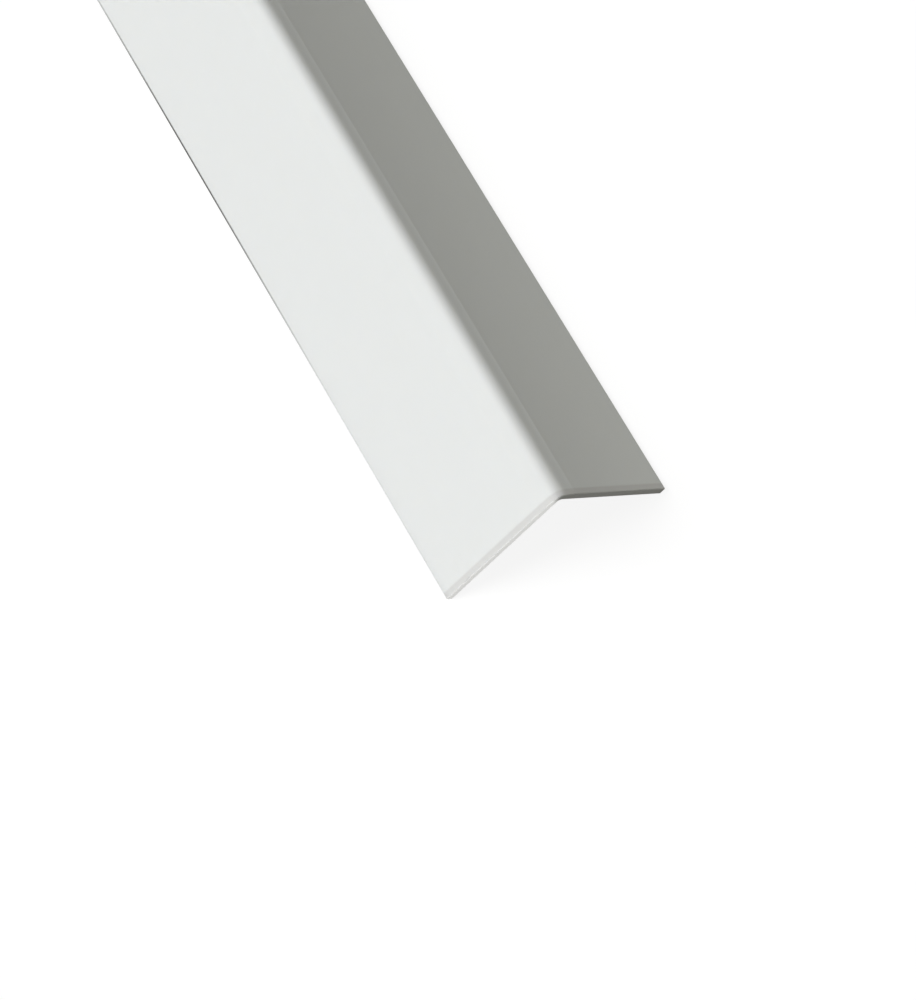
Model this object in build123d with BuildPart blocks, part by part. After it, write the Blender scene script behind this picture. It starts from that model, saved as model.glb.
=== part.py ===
"""Equal-leg angle profile in white acrylic, extruded in one piece and cut to length.

It lies ridge up on a level floor, resting on its two free edges, with its length along X.
The origin is on the floor, under the middle of the ridge.
"""
import os
from math import sqrt

from build123d import *

# Driving dimensions, in millimetres
LENGTH = 1000.0             # cut length of the bar
LEG = 40.0                  # outside width of each leg, from the sharp outer corner
WALL = 2.0                  # thickness of both legs and of the bend between them
INNER_CORNER_RADIUS = 1.0   # round of the inside corner
EDGE_RADIUS = 0.4           # round along both rims of each leg's free edge
CUT_CHAMFER = 0.15          # deburred rim of the two sawn ends

# The wall keeps its thickness round the bend, so the ridge has the larger round.
outer_corner_radius = INNER_CORNER_RADIUS + WALL

# The legs slope down at 45 degrees, so the bar stands on the inner rims of its free edges.
# The round on those rims lowers the whole section by this much.
lost_to_rounds = EDGE_RADIUS * (sqrt(2) - 1)
ridge_height = (LEG + WALL) / sqrt(2) - lost_to_rounds

# The section is drawn at one end of the bar, from the sharp corner of the ridge:
# x runs down the leg on the -Y side, and y down the leg on the +Y side.
section_plane = Plane(
    origin=(-LENGTH / 2, 0, ridge_height),
    x_dir=(0, -1, -1),
    z_dir=(1, 0, 0),
)
ridge = (0, 0)

with BuildPart() as angle_profile:
    with BuildSketch(section_plane) as section:
        with BuildLine():
            Polyline(
                ridge,
                (LEG, 0),
                (LEG, WALL),
                (WALL, WALL),
                (WALL, LEG),
                (0, LEG),
                close=True,
            )
        make_face()
        # From the ridge outwards: the outer corner, the inner corner, then the four free rims
        fillet(section.vertices().sort_by_distance(ridge)[2:], EDGE_RADIUS)
        fillet(section.vertices().sort_by_distance(ridge)[1], INNER_CORNER_RADIUS)
        fillet(section.vertices().sort_by_distance(ridge)[0], outer_corner_radius)
    extrude(amount=LENGTH)
    sawn_ends = angle_profile.faces().filter_by(Axis.X)
    chamfer(sawn_ends.edges(), CUT_CHAMFER)

angle_profile.part.label = "angle_profile"

os.makedirs("parts", exist_ok=True)
export_step(angle_profile.part, "parts/angle_profile.step")
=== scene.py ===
"""White acrylic angle profile, lying ridge up on a pale floor in soft light from its left."""
from math import cos, pi, radians, sin, sqrt

import bpy
import numpy as np
from mathutils import Matrix, Vector


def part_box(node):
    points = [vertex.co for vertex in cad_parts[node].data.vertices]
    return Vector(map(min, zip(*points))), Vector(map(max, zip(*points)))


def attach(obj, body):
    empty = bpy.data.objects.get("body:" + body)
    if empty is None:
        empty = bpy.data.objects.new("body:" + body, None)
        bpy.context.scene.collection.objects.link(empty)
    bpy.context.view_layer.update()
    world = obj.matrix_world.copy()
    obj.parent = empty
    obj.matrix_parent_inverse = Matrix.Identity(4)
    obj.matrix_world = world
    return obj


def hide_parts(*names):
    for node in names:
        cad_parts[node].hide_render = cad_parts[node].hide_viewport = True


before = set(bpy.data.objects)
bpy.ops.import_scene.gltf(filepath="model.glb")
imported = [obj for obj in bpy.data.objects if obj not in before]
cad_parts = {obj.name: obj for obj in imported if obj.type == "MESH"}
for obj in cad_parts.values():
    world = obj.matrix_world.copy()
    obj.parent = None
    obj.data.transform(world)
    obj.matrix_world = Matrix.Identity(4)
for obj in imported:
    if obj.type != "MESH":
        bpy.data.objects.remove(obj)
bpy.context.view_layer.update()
scene = bpy.context.scene
scene.view_settings.view_transform = "Standard"


# The angle bar is one length of opal white acrylic, pushed hot through a die: two equal legs of one
# wall with a round bend. It shrinks at the bend as it cools, so a narrow strip of each leg leans in
# there. A saw cuts it off square, and the rims of the cut are scraped.
leg_width = 0.040
wall = 0.002
free_rim_radius = 0.0004
scraped_rim = 0.00015
strip_length = 0.0021
strip_turn = 0.0005
strip_lean = radians(6.5)
strip_eased = 0.5
outer_bend_length = 0.0067
inner_bend_length = 0.0025
rim_steps = 9
leg_steps = 12
curve_steps = 48
stations_along = 81
sharp_edge = radians(30)

bar_low, bar_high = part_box("angle_profile")
corner_height = (leg_width + wall) / sqrt(2) - free_rim_radius * (sqrt(2) - 1)


def leg_face(rim_centre, rim_side, bend_length, inset, lean):
    """One face of the section, from the free edge of the left leg over the bend to the other.

    A point is (distance down the left leg, distance down the right leg) from the sharp outer
    corner. The left half is a quarter circle at the rim, a straight run with its steps closer at
    both ends, and a curve that is walked to the middle of the bend. The curve's heading swings
    in by the lean, eases back along the strip, and then turns by a smooth step of the distance
    walked. The right half is the same with the two distances changed over.
    """
    rim_radius = free_rim_radius - inset
    depth = rim_centre + rim_side * rim_radius
    turn = np.linspace(0, pi / 2, rim_steps)
    rim_from = leg_width - free_rim_radius
    rim_down = rim_from + rim_radius * np.cos(turn)
    rim_depth = rim_centre + rim_side * rim_radius * np.sin(turn)

    walked = np.linspace(0, strip_length + bend_length / 2, curve_steps)
    bent = np.clip((walked - strip_length) / bend_length, 0, None)
    smooth_step = bent**3 * (10 - 15 * bent + 6 * bent**2)
    heading = lean * np.interp(walked, [0, strip_turn, strip_length], [0, 1, strip_eased])
    heading += (pi / 2 - 2 * lean * strip_eased) * smooth_step
    strides = np.stack([np.cos(heading), np.sin(heading)]) * walked[1]
    onward, inward = np.cumsum((strides[:, 1:] + strides[:, :-1]) / 2, axis=1)
    curve_from = depth + onward[-1] + inward[-1]

    spread = (1 - np.cos(pi * np.linspace(0, 1, leg_steps)[1:])) / 2
    run_down = rim_from + (curve_from - rim_from) * spread
    half_down = np.concatenate([rim_down, run_down, curve_from - onward])
    half_depth = np.concatenate([rim_depth, np.full_like(run_down, depth), depth + inward])
    half = np.stack([half_down, half_depth], axis=1)
    return np.concatenate([half, half[-2::-1, ::-1]])


def bar_section(inset):
    """The closed section: the outer face out, then the inner face back, both drawn in by inset."""
    outer = leg_face(free_rim_radius, -1, outer_bend_length, inset, strip_lean)
    inner = leg_face(wall - free_rim_radius, 1, inner_bend_length, inset, 0)
    return np.concatenate([outer, inner[::-1]])


def on_bar(along, down_left, down_right):
    """A place given along the bar and down its two legs, as the frame's x, y and z.

    Both legs fall at 45 degrees, so the difference of the two distances over the root of two is
    the way across, and their sum over it is the drop from the sharp outer corner.
    """
    across = (down_right - down_left) / sqrt(2)
    height = corner_height - (down_left + down_right) / sqrt(2)
    return np.stack([along, across, height], axis=-1)


def add_piece(name, points, faces):
    """A new mesh object at the origin, shaded smooth but for edges past the sharp angle."""
    mesh = bpy.data.meshes.new(name)
    mesh.from_pydata(points, [], faces)
    mesh.shade_smooth()
    mesh.set_sharp_from_angle(angle=sharp_edge)
    piece = bpy.data.objects.new(name, mesh)
    scene.collection.objects.link(piece)
    return piece


# The section is carried along the bar as rings of points, and the two end rings are drawn in.
section = bar_section(0)
around = len(section)
along = np.linspace(bar_low.x + scraped_rim, bar_high.x - scraped_rim, stations_along)
along = np.concatenate([[bar_low.x], along, [bar_high.x]])
rings = np.repeat(section[None], len(along), axis=0)
rings[[0, -1]] = bar_section(scraped_rim)
bar_points = on_bar(np.repeat(along[:, None], around, axis=1), rings[..., 0], rings[..., 1])

# Each cut is closed by a ladder of faces, from the outer face of the section to the inner one.
ring = np.arange(len(along) - 1)[:, None] * around
point = np.arange(around)[None]
beside = (point + 1) % around
skin = np.stack([ring + point, ring + around + point, ring + around + beside, ring + beside], axis=-1)
skin = skin.reshape(-1, 4)
rung = np.arange(around // 2 - 1)
first_cut = np.stack([rung, rung + 1, around - 2 - rung, around - 1 - rung], axis=1)
last_cut = first_cut[:, ::-1] + (len(along) - 1) * around
bar_faces = np.concatenate([skin, first_cut, last_cut])
angle_bar = add_piece("angle_bar", bar_points.reshape(-1, 3), bar_faces)

sawn = np.zeros(len(bar_faces), dtype=np.int32)
sawn[len(skin) :] = 1
angle_bar.data.polygons.foreach_set("material_index", sawn)

# The skin is satin, with fine die lines along it, a few scuffs and a darker grey band by each cut.
# Its left free edge has painted shadow: dark grey stretches, evenly spaced along the bar, in place of the
# shade that falls beside that edge.
acrylic_white = (0.816, 0.835, 0.830, 1)
acrylic_shade = (0.806, 0.824, 0.819, 1)
acrylic_ior = 1.49
soaked_share = 0.35
soaked_depth = 0.004
soaked_tint = (1.0, 0.95, 0.85)
band_grey = (0.680, 0.682, 0.676, 1)
band_width = 0.0012
band_fade = 0.0007
# Painted shadow: a near-black line on the left free edge, standing in for the shade beside it.
edge_shadow_grey = (0.05, 0.05, 0.048, 1)
edge_shadow_width = 0.0006
edge_shadow_middle = 0.374
edge_shadow_reach = 0.080
edge_shadow_spacing = 0.25
die_line_scale = (1.5, 800, 800)
die_line_low = 0.3
die_line_high = 0.7
cloud_scale = 18
scuff_scale = (70, 1500, 1500)
scuff_turn = (0, 0, 0.06)
scuff_from = 0.69
scuff_full = 0.76
scuff_roughness = 0.12
satin_low = 0.66
satin_high = 0.72
skin_relief = 0.05
skin_relief_depth = 0.00002


def feed(tree, node, inputs):
    """Gives each input of a node its value, or a link where the value is another node's output."""
    for socket, value in inputs.items():
        if isinstance(value, bpy.types.NodeSocket):
            tree.links.new(value, node.inputs[socket])
        else:
            node.inputs[socket].default_value = value


def add_node(tree, kind, inputs=None, **settings):
    """A new shader node with its own settings, its inputs fed with values or links."""
    node = tree.nodes.new(kind)
    for name, value in settings.items():
        setattr(node, name, value)
    feed(tree, node, inputs or {})
    return node


def calculate(tree, operation, *operands):
    """The outcome of one arithmetic step on the operands, in the order given."""
    return add_node(tree, "ShaderNodeMath", dict(enumerate(operands)), operation=operation).outputs[0]


def ramp(tree, value, start, end, low=0, high=1, shape="LINEAR"):
    """Low before the start, high past the end, and a straight or smooth way between the two."""
    limits = {"Value": value, "From Min": start, "From Max": end, "To Min": low, "To Max": high}
    return add_node(tree, "ShaderNodeMapRange", limits, interpolation_type=shape).outputs["Result"]


def mix_colours(tree, share, first, second):
    """The first colour where the share is nought, the second where it is one.

    A Mix node holds its two colours in sockets 6 and 7 and gives the mixed one in output 2.
    """
    mixed = add_node(tree, "ShaderNodeMix", {"Factor": share, 6: first, 7: second}, data_type="RGBA")
    return mixed.outputs[2]


def new_material(name):
    """A new material with its node tree and its main shader."""
    material = bpy.data.materials.new(name)
    material.use_nodes = True
    tree = material.node_tree
    return material, tree, tree.nodes["Principled BSDF"]


skin_finish, tree, shader = new_material("white_acrylic_skin")
place = add_node(tree, "ShaderNodeTexCoord").outputs["Object"]
place_along = add_node(tree, "ShaderNodeSeparateXYZ", {0: place}).outputs["X"]

band_from = bar_high.x - band_width
from_middle = calculate(tree, "ABSOLUTE", place_along)
band = ramp(tree, from_middle, band_from - band_fade, band_from, shape="SMOOTHSTEP")

# The way down the left leg is taken from the frame's origin, so the start of the painted edge shadow is
# moved to match.
from_edge_shadow = calculate(tree, "SUBTRACT", place_along, edge_shadow_middle)
nearest_edge_shadow = calculate(tree, "PINGPONG", from_edge_shadow, edge_shadow_spacing / 2)
edge_shadow_along = ramp(tree, nearest_edge_shadow, edge_shadow_reach, 0, shape="SMOOTHSTEP")
leftward = {0: place, 1: (0, -1 / sqrt(2), -1 / sqrt(2))}
down_left = add_node(tree, "ShaderNodeVectorMath", leftward, operation="DOT_PRODUCT").outputs["Value"]
edge_shadow_from = leg_width - edge_shadow_width - corner_height / sqrt(2)
edge_shadow_across = ramp(tree, down_left, edge_shadow_from - edge_shadow_width / 4, edge_shadow_from + edge_shadow_width / 4, shape="SMOOTHSTEP")
edge_shadowed = calculate(tree, "MULTIPLY", edge_shadow_along, edge_shadow_across)

stretched = add_node(tree, "ShaderNodeMapping", {"Vector": place, "Scale": die_line_scale}).outputs[0]
drawn_out = {"Vector": stretched, "Scale": 1, "Detail": 4, "Roughness": 0.65}
die_lines = add_node(tree, "ShaderNodeTexNoise", drawn_out).outputs["Fac"]
slanted = {"Vector": place, "Scale": scuff_scale, "Rotation": scuff_turn}
short = add_node(tree, "ShaderNodeMapping", slanted).outputs[0]
marks = add_node(tree, "ShaderNodeTexNoise", {"Vector": short, "Scale": 1, "Detail": 1}).outputs["Fac"]
scuffs = ramp(tree, marks, scuff_from, scuff_full)
clouded = {"Vector": place, "Scale": cloud_scale, "Detail": 3}
cloud = add_node(tree, "ShaderNodeTexNoise", clouded).outputs["Fac"]

uneven = calculate(tree, "MULTIPLY", cloud, die_lines)
body_colour = mix_colours(tree, uneven, acrylic_white, acrylic_shade)
banded_colour = mix_colours(tree, band, body_colour, band_grey)
# The painted shadow along the left free edge is mixed into the skin colour here.
skin_colour = mix_colours(tree, edge_shadowed, banded_colour, edge_shadow_grey)
satin = ramp(tree, die_lines, die_line_low, die_line_high, satin_low, satin_high)
skin_roughness = calculate(tree, "MULTIPLY_ADD", scuffs, scuff_roughness, satin)
relief = {
    "Strength": skin_relief,
    "Distance": skin_relief_depth,
    "Height": calculate(tree, "SUBTRACT", die_lines, scuffs),
}
skin_look = {
    "Base Color": skin_colour,
    "Roughness": skin_roughness,
    "Normal": add_node(tree, "ShaderNodeBump", relief).outputs["Normal"],
    "IOR": acrylic_ior,
    "Subsurface Weight": soaked_share,
    "Subsurface Radius": soaked_tint,
    "Subsurface Scale": soaked_depth,
}
feed(tree, shader, skin_look)
angle_bar.data.materials.append(skin_finish)

# The sawn ends are matt, with the curved lines that a round blade leaves. A grain makes them waver.
sawn_light = (0.76, 0.76, 0.748, 1)
sawn_dark = (0.70, 0.70, 0.688, 1)
sawn_gloss = 0.1
sawn_roughness_low = 0.6
sawn_roughness_high = 0.8
sawn_relief = 0.15
sawn_relief_depth = 0.00003
blade_centre = (0, -0.075, 0.055)
tooth_pitch = 0.0005
grain_scale = 1800
grain_sway = 6

sawn_finish, tree, shader = new_material("sawn_acrylic")
place = add_node(tree, "ShaderNodeTexCoord").outputs["Object"]
across_only = {0: place, 1: (0, 1, 1)}
flattened = add_node(tree, "ShaderNodeVectorMath", across_only, operation="MULTIPLY").outputs[0]
to_blade = {0: flattened, 1: blade_centre}
from_blade = add_node(tree, "ShaderNodeVectorMath", to_blade, operation="DISTANCE").outputs["Value"]
grainy = {"Vector": place, "Scale": grain_scale, "Detail": 4}
grain = add_node(tree, "ShaderNodeTexNoise", grainy).outputs["Fac"]
waver = calculate(tree, "MULTIPLY", grain, grain_sway)
phase = calculate(tree, "MULTIPLY_ADD", from_blade, 2 * pi / tooth_pitch, waver)
saw_lines = ramp(tree, calculate(tree, "SINE", phase), -1, 1)
relief = {"Strength": sawn_relief, "Distance": sawn_relief_depth, "Height": saw_lines}
sawn_look = {
    "Base Color": mix_colours(tree, saw_lines, sawn_dark, sawn_light),
    "Roughness": ramp(tree, grain, 0, 1, sawn_roughness_low, sawn_roughness_high),
    "Normal": add_node(tree, "ShaderNodeBump", relief).outputs["Normal"],
    "IOR": acrylic_ior,
    "Specular IOR Level": sawn_gloss,
}
feed(tree, shader, sawn_look)
angle_bar.data.materials.append(sawn_finish)

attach(angle_bar, "root")
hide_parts("angle_profile")


# The floor is a smooth pale sheet under the bar. It looks white to the eye and in reflections,
# and only the bar's own soft shadow darkens it.
floor_half = 6.0
floor_grey = (0.16, 0.16, 0.16, 1)
floor_glow = 0.89

sides = np.array([-1.0, 1.0]) * floor_half
floor_x, floor_y = np.meshgrid(sides, sides, indexing="ij")
floor_points = np.stack([floor_x, floor_y, np.zeros_like(floor_x)], axis=-1).reshape(-1, 3)
floor = add_piece("floor", floor_points, [(0, 2, 3, 1)])


def seen_ray(tree):
    """One for a ray that shows a thing to the camera, straight or by a mirror or glass, else nought."""
    ray = add_node(tree, "ShaderNodeLightPath").outputs
    straight_or_mirror = calculate(tree, "MAXIMUM", ray["Is Camera Ray"], ray["Is Glossy Ray"])
    return calculate(tree, "MAXIMUM", straight_or_mirror, ray["Is Transmission Ray"])


pale = bpy.data.materials.new("pale_floor")
pale.use_nodes = True
tree = pale.node_tree
tree.nodes.clear()
matt_floor = add_node(tree, "ShaderNodeBsdfDiffuse", {"Color": floor_grey}).outputs[0]
glow_level = calculate(tree, "MULTIPLY", seen_ray(tree), floor_glow)
glow = add_node(tree, "ShaderNodeEmission", {"Strength": glow_level}).outputs[0]
both = add_node(tree, "ShaderNodeAddShader", {0: matt_floor, 1: glow}).outputs[0]
add_node(tree, "ShaderNodeOutputMaterial", {"Surface": both})
floor.data.materials.append(pale)


# The light is broad and soft from the left, nearly square to the left leg, and a long low panel on
# the right lifts the shaded leg a little. A narrow spot lights the left half of the near cut,
# and the room is dim and even but looks white.
key_height = radians(48)
key_from_far_end = 0.25
key_spread = radians(36)
key_level = 0.881
panel_length = 1.5
panel_height = 0.05
panel_place = (0.05, 0.1675, 0.03)
panel_turn = (radians(-90), 0, radians(-8.5))
panel_watts = 0.170
panel_tint = (1.0, 0.99, 0.91)
spot_place = (1.0, -0.0300, 0.0265)
spot_turn = (0, radians(90), 0)
spot_cone = radians(6.8)
spot_blend = 0.05
spot_radius = 0.001
spot_watts = 7.0
room_level = 0.10
room_tint = (1.0, 0.99, 0.84, 1)
room_white = (1, 1, 1, 1)


def add_lamp(name, kind, place, turn, **settings):
    """A new lamp at a place, turned by three angles, with its own settings."""
    lamp = bpy.data.lights.new(name, kind)
    for setting, value in settings.items():
        setattr(lamp, setting, value)
    stand = bpy.data.objects.new(name, lamp)
    stand.location = place
    stand.rotation_euler = turn
    scene.collection.objects.link(stand)
    return stand


to_key = Vector((-key_from_far_end, -cos(key_height), sin(key_height)))
key_turn = to_key.to_track_quat("Z", "Y").to_euler()
add_lamp("key", "SUN", (0, 0, 0), key_turn, energy=key_level * pi, angle=key_spread)

panel_look = {"shape": "RECTANGLE", "size": panel_length, "size_y": panel_height, "color": panel_tint}
panel = add_lamp("panel", "AREA", panel_place, panel_turn, energy=panel_watts, **panel_look)
panel.visible_camera = False

spot_look = {"spot_size": spot_cone, "spot_blend": spot_blend, "shadow_soft_size": spot_radius}
add_lamp("spot", "SPOT", spot_place, spot_turn, energy=spot_watts, **spot_look)

room = bpy.data.worlds.new("room")
scene.world = room
room.use_nodes = True
tree = room.node_tree
tree.nodes.clear()
dim = add_node(tree, "ShaderNodeBackground", {"Color": room_tint, "Strength": room_level}).outputs[0]
white = add_node(tree, "ShaderNodeBackground", {"Color": room_white, "Strength": 1}).outputs[0]
either = add_node(tree, "ShaderNodeMixShader", {"Fac": seen_ray(tree), 1: dim, 2: white}).outputs[0]
add_node(tree, "ShaderNodeOutputWorld", {"Surface": either})


# The camera looks down on the near end of the bar from its left, as the photograph does.
# The far end runs out of the picture.
picture_width = 916
picture_height = 1000
sensor_long_side = 36
focal_pixels = 3842.0
near_corner_pixel = (559.81, 494.67)
near_corner_distance = 0.8393
azimuth = radians(61.423)
elevation = radians(67.086)

right = Vector((cos(azimuth), sin(azimuth), 0))
back = Vector((sin(azimuth) * cos(elevation), -cos(azimuth) * cos(elevation), sin(elevation)))
up = back.cross(right)
near_corner = Vector((bar_high.x, 0, corner_height))
metres_per_pixel = near_corner_distance / focal_pixels
rightwards = (near_corner_pixel[0] - picture_width / 2) * metres_per_pixel
upwards = (picture_height / 2 - near_corner_pixel[1]) * metres_per_pixel
camera_data = bpy.data.cameras.new("camera")
camera_data.sensor_width = sensor_long_side
camera_data.lens = focal_pixels * sensor_long_side / picture_height
camera = bpy.data.objects.new("camera", camera_data)
stand = near_corner + back * near_corner_distance - right * rightwards - up * upwards
camera.matrix_world = Matrix.Translation(stand) @ Matrix((right, up, back)).transposed().to_4x4()
scene.collection.objects.link(camera)
scene.camera = camera
